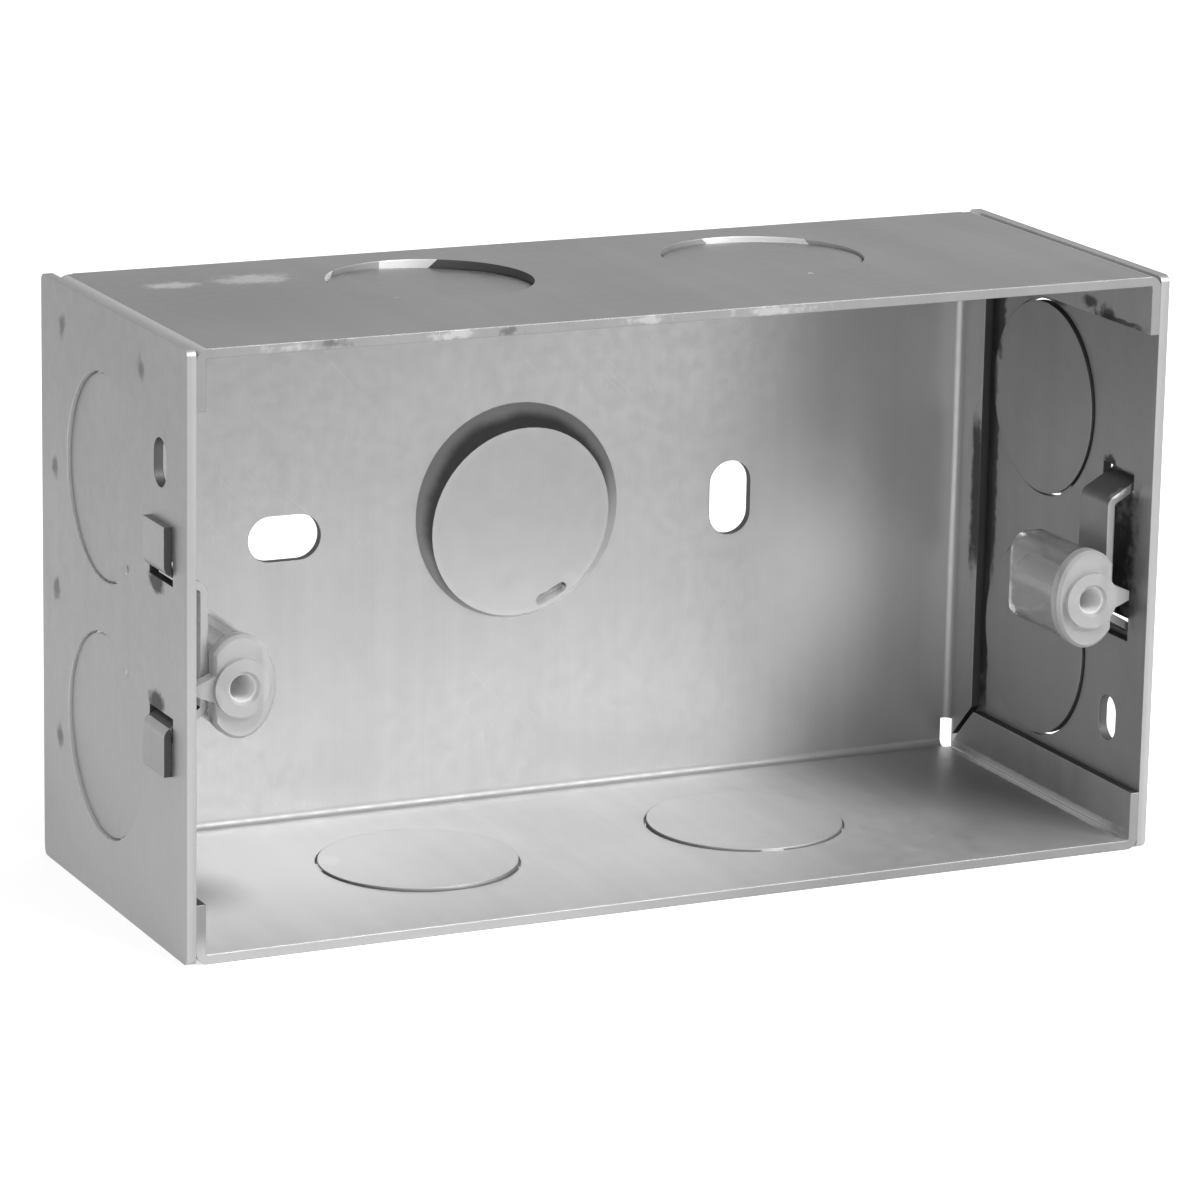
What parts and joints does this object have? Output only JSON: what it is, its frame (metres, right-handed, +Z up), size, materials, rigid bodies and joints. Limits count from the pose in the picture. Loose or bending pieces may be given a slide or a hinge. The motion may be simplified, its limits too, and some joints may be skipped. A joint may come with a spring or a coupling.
{
  "type": "metal back box",
  "caption": "Open-fronted steel back box for a wall plate, folded and spot-welded from galvanised sheet, with knockouts for conduit and sliding plastic screw lugs.",
  "frame": {"origin": "middle of the underside, midway between the end plates and between front and back", "axes": "+X along the width to the right as seen from the open front, +Y to the back, +Z up"},
  "size_m": [0.134, 0.05, 0.075],
  "materials": {
    "galvanised_sheet": "satin zinc-coated sheet with scuffs and spot-weld marks",
    "strap_steel": "satin zinc-coated strip",
    "lug_plastic": "natural translucent moulding"
  },
  "bodies": {
    "box": {"box_shell": "galvanised_sheet", "end_plate_left": "galvanised_sheet", "end_plate_right": "galvanised_sheet", "lug_strap_left": "strap_steel", "lug_strap_right": "strap_steel"},
    "lug_left": {"screw_lug_left": "lug_plastic"},
    "lug_right": {"screw_lug_right": "lug_plastic"}
  },
  "joints": [
    {"name": "lug_slide_left", "type": "slide", "parent": "box", "child": "lug_left", "axis": [0, 0, 1], "range_m": [0, 0.00902]},
    {"name": "lug_slide_right", "type": "slide", "parent": "box", "child": "lug_right", "axis": [0, 0, 1], "range_m": [0, 0.00902]}
  ]
}
